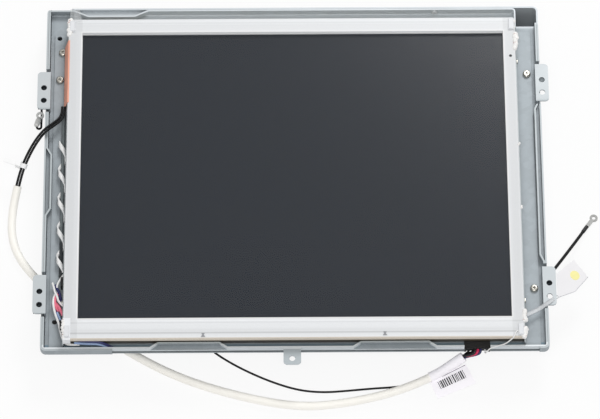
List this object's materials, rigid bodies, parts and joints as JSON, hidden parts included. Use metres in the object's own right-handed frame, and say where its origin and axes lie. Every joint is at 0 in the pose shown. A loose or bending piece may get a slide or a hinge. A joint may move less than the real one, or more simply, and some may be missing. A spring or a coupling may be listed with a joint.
{
  "type": "open-frame touch monitor",
  "caption": "Open-frame touch monitor: a 4:3 panel under touch glass in a nested galvanized tray and rear pan, with fixing ears and a trailing white touch cable.",
  "frame": {"origin": "on the flat back of the rear pan, at the middle of the steelwork's outline", "axes": "+X to the monitor's right seen from the front, +Y to its top edge, +Z out of the screen; it lies on its back"},
  "size_m": [0.4309, 0.3138, 0.0395],
  "materials": {
    "galvanized_steel": "zinc-coated steel sheet, blue-grey, satin with a faint spangle",
    "bright_steel": "plain rolled stainless strip, fine grain along its length",
    "plated_screw": "yellow-zinc plated, polished",
    "hex_brass": "turned, bright",
    "silver_bezel": "tin-plated pressing, pale and even",
    "clear_glass": "clear float glass, polished",
    "screen_dark": "dark polarizer film, half matt",
    "clear_acrylic": "clear acrylic, polished",
    "white_film": "white film",
    "lamp_glass": "phosphor-coated glass tube",
    "grey_rubber": "soft moulded",
    "black_rubber": "soft moulded",
    "tan_plastic": "glass-filled plastic, tan",
    "black_plastic": "moulded plastic, fine texture",
    "white_nylon": "natural nylon",
    "white_foam": "closed-cell foam, white",
    "black_steel": "black-oxide steel bar",
    "ceramic_white": "unglazed ceramic with white adhesive",
    "copper_foil": "copper foil, rubbed",
    "green_board": "glass-fibre board, solder mask",
    "blue_can": "aluminium can in printed sleeve",
    "ferrite": "dark ferrite core",
    "white_jacket": "soft vinyl jacket, warm white",
    "black_lead": "soft vinyl insulation",
    "tail_wire": "soft vinyl insulation",
    "lamp_wire": "silicone insulation",
    "tin_plate": "tinned copper, bright",
    "label_paper": "coated paper, plain",
    "yellow_dot": "round sticker, plain"
  },
  "bodies": {
    "root": {"rear_pan": "galvanized_steel", "panel_tray": "galvanized_steel", "left_bracket": "galvanized_steel", "right_bracket": "galvanized_steel", "bracket_screws": "plated_screw", "module_screws": "plated_screw", "board_screws": "plated_screw", "tray_posts": "hex_brass", "board_studs": "hex_brass", "wall_rivet": "tin_plate", "module_back": "bright_steel", "reflector_film": "white_film", "light_guide": "clear_acrylic", "diffuser_sheets": "white_film", "lamp_tubes": "lamp_glass", "lamp_holders": "grey_rubber", "mould_frame": "tan_plastic", "display_cell": "screen_dark", "front_bezel": "silver_bezel", "driver_board": "green_board", "foam_gasket": "white_foam", "touch_glass": "clear_glass", "corner_sensors": "ceramic_white", "copper_tape": "copper_foil", "edge_bush": "black_rubber", "tail_plug": "black_plastic", "lead_grommets": "black_rubber", "board_chips": "black_plastic", "board_capacitors": "blue_can", "lamp_transformers": "ferrite", "ribbon_cable": "white_film", "harness": "black_lead", "spiral_wrap": "white_nylon", "lead_outlets": "black_rubber", "lamp_leads": "lamp_wire", "white_cable": "white_jacket", "cable_tails": "tail_wire", "lead_a": "black_lead", "lead_b": "black_lead", "thin_lead": "black_lead", "earth_lead": "black_lead", "earth_sleeve": "black_plastic", "earth_terminal": "tin_plate", "earth_lug": "tin_plate", "ear_lead": "black_lead", "ear_sleeve": "black_plastic", "ear_terminal": "tin_plate", "cable_tie": "white_nylon", "flag_label": "label_paper", "film_tag": "white_film", "tag_dot": "yellow_dot", "video_board": "green_board", "lamp_board": "green_board", "touch_board": "green_board", "video_socket": "black_plastic", "touch_socket": "black_plastic", "power_socket": "black_plastic", "nut_bars": "black_steel", "corner_tape": "white_film", "sensor_lead": "white_jacket"}
  },
  "joints": []
}
